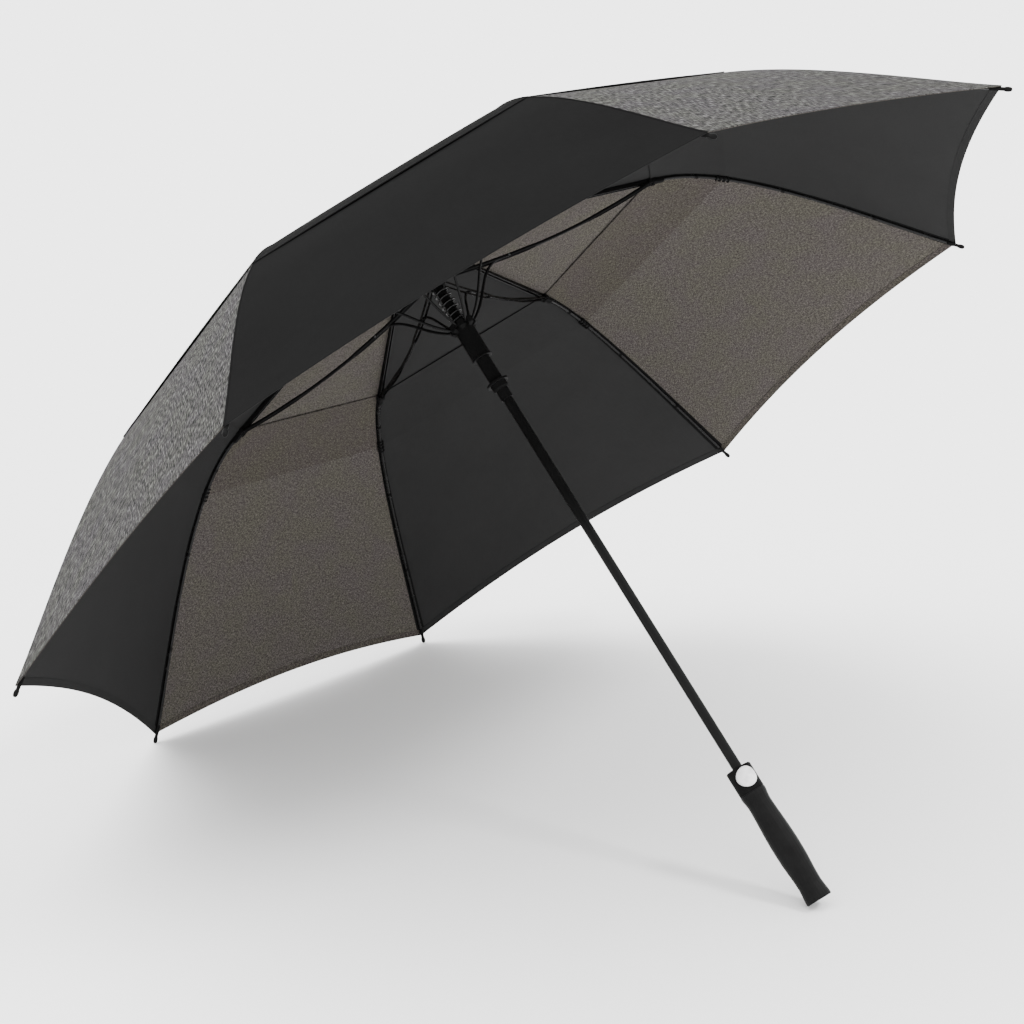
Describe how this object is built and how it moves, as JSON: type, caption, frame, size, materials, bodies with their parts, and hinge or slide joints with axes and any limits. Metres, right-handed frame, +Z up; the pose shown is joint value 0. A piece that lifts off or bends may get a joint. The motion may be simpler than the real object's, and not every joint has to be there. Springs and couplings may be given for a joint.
{
  "type": "golf umbrella",
  "caption": "Open golf umbrella with a vented double canopy, resting on two rib tips and its handle's end.",
  "frame": {"origin": "bottom centre of the open umbrella's bounding box, on the floor it rests on", "axes": "+Z up; the shaft lies in the XZ plane, its handle low on the +X side and its ferrule high on the -X side; +Y along the canopy's widest line"},
  "size_m": [0.8832, 1.2322, 0.8807],
  "materials": {
    "black_steel": "satin black",
    "black_rod": "polished fibreglass",
    "spring_wire": "blackened steel wire",
    "bare_steel": "plain",
    "black_plastic": "fine satin",
    "grip_rubber": "soft-touch satin",
    "button_white": "smooth",
    "black_cloth": "woven polyester",
    "grey_cloth": "heathered woven polyester"
  },
  "bodies": {
    "frame": {"shaft_tube": "black_steel", "crown": "black_plastic", "ferrule": "black_plastic", "handle_head": "black_plastic", "grip": "grip_rubber"},
    "upper_slider": {"upper_slider": "black_plastic"},
    "runner": {"runner": "black_plastic", "runner_sleeve": "black_steel", "opening_spring": "spring_wire"},
    "button": {"button": "button_white", "button_spring": "spring_wire", "latch": "bare_steel"},
    "rib_1": {"rib_channel_1": "black_steel", "upper_canopy_1": "black_cloth"},
    "rod_1": {"rib_rod_1": "black_rod", "lower_canopy_1": "black_cloth"},
    "stretcher_1": {"stretcher_1": "black_steel"},
    "strut_1": {"strut_1": "black_steel"},
    "rib_2": {"rib_channel_2": "black_steel", "upper_canopy_2": "grey_cloth"},
    "rod_2": {"rib_rod_2": "black_rod", "lower_canopy_2": "grey_cloth"},
    "stretcher_2": {"stretcher_2": "black_steel"},
    "strut_2": {"strut_2": "black_steel"},
    "rib_3": {"rib_channel_3": "black_steel", "upper_canopy_3": "black_cloth"},
    "rod_3": {"rib_rod_3": "black_rod", "lower_canopy_3": "black_cloth"},
    "stretcher_3": {"stretcher_3": "black_steel"},
    "strut_3": {"strut_3": "black_steel"},
    "rib_4": {"rib_channel_4": "black_steel", "upper_canopy_4": "grey_cloth"},
    "rod_4": {"rib_rod_4": "black_rod", "lower_canopy_4": "grey_cloth"},
    "stretcher_4": {"stretcher_4": "black_steel"},
    "strut_4": {"strut_4": "black_steel"},
    "rib_5": {"rib_channel_5": "black_steel", "upper_canopy_5": "black_cloth"},
    "rod_5": {"rib_rod_5": "black_rod", "lower_canopy_5": "black_cloth"},
    "stretcher_5": {"stretcher_5": "black_steel"},
    "strut_5": {"strut_5": "black_steel"},
    "rib_6": {"rib_channel_6": "black_steel", "upper_canopy_6": "grey_cloth"},
    "rod_6": {"rib_rod_6": "black_rod", "lower_canopy_6": "grey_cloth"},
    "stretcher_6": {"stretcher_6": "black_steel"},
    "strut_6": {"strut_6": "black_steel"},
    "rib_7": {"rib_channel_7": "black_steel", "upper_canopy_7": "black_cloth"},
    "rod_7": {"rib_rod_7": "black_rod", "lower_canopy_7": "black_cloth"},
    "stretcher_7": {"stretcher_7": "black_steel"},
    "strut_7": {"strut_7": "black_steel"},
    "rib_8": {"rib_channel_8": "black_steel", "upper_canopy_8": "grey_cloth"},
    "rod_8": {"rib_rod_8": "black_rod", "lower_canopy_8": "grey_cloth"},
    "stretcher_8": {"stretcher_8": "black_steel"},
    "strut_8": {"strut_8": "black_steel"}
  },
  "joints": [
    {"name": "runner_slide", "type": "slide", "parent": "frame", "child": "runner", "axis": [0.7074, 0, -0.7069], "range_m": [0, 0.5177], "stiffness_N_per_m": 80, "springref_m": -0.15, "deforming": ["opening_spring"]},
    {"name": "upper_slider_slide", "type": "slide", "parent": "frame", "child": "upper_slider", "axis": [0.7074, 0, -0.7069], "range_m": [0, 0.56723]},
    {"name": "button_press", "type": "slide", "parent": "frame", "child": "button", "axis": [-0.6122, 0.5, -0.6126], "range_m": [0, 0.0022], "stiffness_N_per_m": 300, "springref_m": -0.004, "deforming": ["button_spring"]},
    {"name": "rib_1_fold", "type": "hinge", "parent": "frame", "child": "rib_1", "pos_m": [-0.21829, -0.01386, 0.65141], "axis": [0.653, -0.3827, 0.6535], "range_deg": [0, 74.82], "deforming": ["upper_canopy_1"]},
    {"name": "rod_1_flex", "type": "hinge", "parent": "rib_1", "child": "rod_1", "pos_m": [-0.26695, -0.31624, 0.52297], "axis": [-0.653, 0.3827, -0.6535], "range_deg": [0, 28.3], "deforming": ["lower_canopy_1"]},
    {"name": "stretcher_1_swing", "type": "hinge", "parent": "upper_slider", "child": "stretcher_1", "pos_m": [-0.17381, -0.01293, 0.60751], "axis": [-0.653, 0.3827, -0.6535], "range_deg": [0, 82.8]},
    {"name": "strut_1_swing", "type": "hinge", "parent": "runner", "child": "strut_1", "pos_m": [-0.12677, -0.01413, 0.5598], "axis": [-0.653, 0.3827, -0.6535], "range_deg": [0, 46.24]},
    {"name": "rib_2_fold", "type": "hinge", "parent": "frame", "child": "rib_2", "pos_m": [-0.2241, -0.0055, 0.6456], "axis": [0.2591, -0.9304, 0.2592], "range_deg": [0, 74.82], "deforming": ["upper_canopy_2"]},
    {"name": "rod_2_flex", "type": "hinge", "parent": "rib_2", "child": "rod_2", "pos_m": [-0.39948, -0.12545, 0.39034], "axis": [-0.2591, 0.9304, -0.2592], "range_deg": [0, 28.3], "deforming": ["lower_canopy_2"]},
    {"name": "stretcher_2_swing", "type": "hinge", "parent": "upper_slider", "child": "stretcher_2", "pos_m": [-0.17924, -0.00513, 0.60208], "axis": [-0.2591, 0.9304, -0.2592], "range_deg": [0, 82.8]},
    {"name": "strut_2_swing", "type": "hinge", "parent": "runner", "child": "strut_2", "pos_m": [-0.1327, -0.00561, 0.55387], "axis": [-0.2591, 0.9304, -0.2592], "range_deg": [0, 46.24]},
    {"name": "rib_3_fold", "type": "hinge", "parent": "frame", "child": "rib_3", "pos_m": [-0.2241, 0.0055, 0.6456], "axis": [-0.2591, -0.9304, -0.2592], "range_deg": [0, 74.82], "deforming": ["upper_canopy_3"]},
    {"name": "rod_3_flex", "type": "hinge", "parent": "rib_3", "child": "rod_3", "pos_m": [-0.39948, 0.12545, 0.39034], "axis": [0.2591, 0.9304, 0.2592], "range_deg": [0, 28.3], "deforming": ["lower_canopy_3"]},
    {"name": "stretcher_3_swing", "type": "hinge", "parent": "upper_slider", "child": "stretcher_3", "pos_m": [-0.17924, 0.00513, 0.60208], "axis": [0.2591, 0.9304, 0.2592], "range_deg": [0, 82.8]},
    {"name": "strut_3_swing", "type": "hinge", "parent": "runner", "child": "strut_3", "pos_m": [-0.1327, 0.00561, 0.55387], "axis": [0.2591, 0.9304, 0.2592], "range_deg": [0, 46.24]},
    {"name": "rib_4_fold", "type": "hinge", "parent": "frame", "child": "rib_4", "pos_m": [-0.21829, 0.01386, 0.65141], "axis": [-0.653, -0.3827, -0.6535], "range_deg": [0, 74.82], "deforming": ["upper_canopy_4"]},
    {"name": "rod_4_flex", "type": "hinge", "parent": "rib_4", "child": "rod_4", "pos_m": [-0.26695, 0.31624, 0.52297], "axis": [0.653, 0.3827, 0.6535], "range_deg": [0, 28.3], "deforming": ["lower_canopy_4"]},
    {"name": "stretcher_4_swing", "type": "hinge", "parent": "upper_slider", "child": "stretcher_4", "pos_m": [-0.17381, 0.01293, 0.60751], "axis": [0.653, 0.3827, 0.6535], "range_deg": [0, 82.8]},
    {"name": "strut_4_swing", "type": "hinge", "parent": "runner", "child": "strut_4", "pos_m": [-0.12677, 0.01413, 0.5598], "axis": [0.653, 0.3827, 0.6535], "range_deg": [0, 46.24]},
    {"name": "rib_5_fold", "type": "hinge", "parent": "frame", "child": "rib_5", "pos_m": [-0.21018, 0.01386, 0.65953], "axis": [-0.653, 0.3827, -0.6535], "range_deg": [0, 74.82], "deforming": ["upper_canopy_5"]},
    {"name": "rod_5_flex", "type": "hinge", "parent": "rib_5", "child": "rod_5", "pos_m": [-0.08177, 0.31624, 0.70828], "axis": [0.653, -0.3827, 0.6535], "range_deg": [0, 28.3], "deforming": ["lower_canopy_5"]},
    {"name": "stretcher_5_swing", "type": "hinge", "parent": "upper_slider", "child": "stretcher_5", "pos_m": [-0.16624, 0.01293, 0.61509], "axis": [0.653, -0.3827, 0.6535], "range_deg": [0, 82.8]},
    {"name": "strut_5_swing", "type": "hinge", "parent": "runner", "child": "strut_5", "pos_m": [-0.1185, 0.01413, 0.56808], "axis": [0.653, -0.3827, 0.6535], "range_deg": [0, 46.24]},
    {"name": "rib_6_fold", "type": "hinge", "parent": "frame", "child": "rib_6", "pos_m": [-0.20444, 0.00574, 0.66528], "axis": [-0.2705, 0.9239, -0.2707], "range_deg": [0, 74.82], "deforming": ["upper_canopy_6"]},
    {"name": "rod_6_flex", "type": "hinge", "parent": "rib_6", "child": "rod_6", "pos_m": [0.04918, 0.13099, 0.83932], "axis": [0.2705, -0.9239, 0.2707], "range_deg": [0, 28.3], "deforming": ["lower_canopy_6"]},
    {"name": "stretcher_6_swing", "type": "hinge", "parent": "upper_slider", "child": "stretcher_6", "pos_m": [-0.16089, 0.00536, 0.62045], "axis": [0.2705, -0.9239, 0.2707], "range_deg": [0, 82.8]},
    {"name": "strut_6_swing", "type": "hinge", "parent": "runner", "child": "strut_6", "pos_m": [-0.11264, 0.00585, 0.57394], "axis": [0.2705, -0.9239, 0.2707], "range_deg": [0, 46.24]},
    {"name": "rib_7_fold", "type": "hinge", "parent": "frame", "child": "rib_7", "pos_m": [-0.20444, -0.00574, 0.66528], "axis": [0.2705, 0.9239, 0.2707], "range_deg": [0, 74.82], "deforming": ["upper_canopy_7"]},
    {"name": "rod_7_flex", "type": "hinge", "parent": "rib_7", "child": "rod_7", "pos_m": [0.04918, -0.13099, 0.83932], "axis": [-0.2705, -0.9239, -0.2707], "range_deg": [0, 28.3], "deforming": ["lower_canopy_7"]},
    {"name": "stretcher_7_swing", "type": "hinge", "parent": "upper_slider", "child": "stretcher_7", "pos_m": [-0.16089, -0.00536, 0.62045], "axis": [-0.2705, -0.9239, -0.2707], "range_deg": [0, 82.8]},
    {"name": "strut_7_swing", "type": "hinge", "parent": "runner", "child": "strut_7", "pos_m": [-0.11264, -0.00585, 0.57394], "axis": [-0.2705, -0.9239, -0.2707], "range_deg": [0, 46.24]},
    {"name": "rib_8_fold", "type": "hinge", "parent": "frame", "child": "rib_8", "pos_m": [-0.21018, -0.01386, 0.65953], "axis": [0.653, 0.3827, 0.6535], "range_deg": [0, 74.82], "deforming": ["upper_canopy_8"]},
    {"name": "rod_8_flex", "type": "hinge", "parent": "rib_8", "child": "rod_8", "pos_m": [-0.08177, -0.31624, 0.70828], "axis": [-0.653, -0.3827, -0.6535], "range_deg": [0, 28.3], "deforming": ["lower_canopy_8"]},
    {"name": "stretcher_8_swing", "type": "hinge", "parent": "upper_slider", "child": "stretcher_8", "pos_m": [-0.16624, -0.01293, 0.61509], "axis": [-0.653, -0.3827, -0.6535], "range_deg": [0, 82.8]},
    {"name": "strut_8_swing", "type": "hinge", "parent": "runner", "child": "strut_8", "pos_m": [-0.1185, -0.01413, 0.56808], "axis": [-0.653, -0.3827, -0.6535], "range_deg": [0, 46.24]}
  ],
  "couplings": [
    {"joint": "upper_slider_slide", "follows": "runner_slide", "ratio": 1.0957},
    {"joint": "rib_1_fold", "follows": "runner_slide", "rad_per_m": 2.5223},
    {"joint": "rod_1_flex", "follows": "runner_slide", "rad_per_m": 0.95408},
    {"joint": "stretcher_1_swing", "follows": "runner_slide", "rad_per_m": 2.7914},
    {"joint": "strut_1_swing", "follows": "runner_slide", "rad_per_m": 1.559},
    {"joint": "rib_2_fold", "follows": "runner_slide", "rad_per_m": 2.5223},
    {"joint": "rod_2_flex", "follows": "runner_slide", "rad_per_m": 0.95408},
    {"joint": "stretcher_2_swing", "follows": "runner_slide", "rad_per_m": 2.7914},
    {"joint": "strut_2_swing", "follows": "runner_slide", "rad_per_m": 1.559},
    {"joint": "rib_3_fold", "follows": "runner_slide", "rad_per_m": 2.5223},
    {"joint": "rod_3_flex", "follows": "runner_slide", "rad_per_m": 0.95408},
    {"joint": "stretcher_3_swing", "follows": "runner_slide", "rad_per_m": 2.7914},
    {"joint": "strut_3_swing", "follows": "runner_slide", "rad_per_m": 1.559},
    {"joint": "rib_4_fold", "follows": "runner_slide", "rad_per_m": 2.5223},
    {"joint": "rod_4_flex", "follows": "runner_slide", "rad_per_m": 0.95408},
    {"joint": "stretcher_4_swing", "follows": "runner_slide", "rad_per_m": 2.7914},
    {"joint": "strut_4_swing", "follows": "runner_slide", "rad_per_m": 1.559},
    {"joint": "rib_5_fold", "follows": "runner_slide", "rad_per_m": 2.5223},
    {"joint": "rod_5_flex", "follows": "runner_slide", "rad_per_m": 0.95408},
    {"joint": "stretcher_5_swing", "follows": "runner_slide", "rad_per_m": 2.7914},
    {"joint": "strut_5_swing", "follows": "runner_slide", "rad_per_m": 1.559},
    {"joint": "rib_6_fold", "follows": "runner_slide", "rad_per_m": 2.5223},
    {"joint": "rod_6_flex", "follows": "runner_slide", "rad_per_m": 0.95408},
    {"joint": "stretcher_6_swing", "follows": "runner_slide", "rad_per_m": 2.7914},
    {"joint": "strut_6_swing", "follows": "runner_slide", "rad_per_m": 1.559},
    {"joint": "rib_7_fold", "follows": "runner_slide", "rad_per_m": 2.5223},
    {"joint": "rod_7_flex", "follows": "runner_slide", "rad_per_m": 0.95408},
    {"joint": "stretcher_7_swing", "follows": "runner_slide", "rad_per_m": 2.7914},
    {"joint": "strut_7_swing", "follows": "runner_slide", "rad_per_m": 1.559},
    {"joint": "rib_8_fold", "follows": "runner_slide", "rad_per_m": 2.5223},
    {"joint": "rod_8_flex", "follows": "runner_slide", "rad_per_m": 0.95408},
    {"joint": "stretcher_8_swing", "follows": "runner_slide", "rad_per_m": 2.7914},
    {"joint": "strut_8_swing", "follows": "runner_slide", "rad_per_m": 1.559}
  ]
}
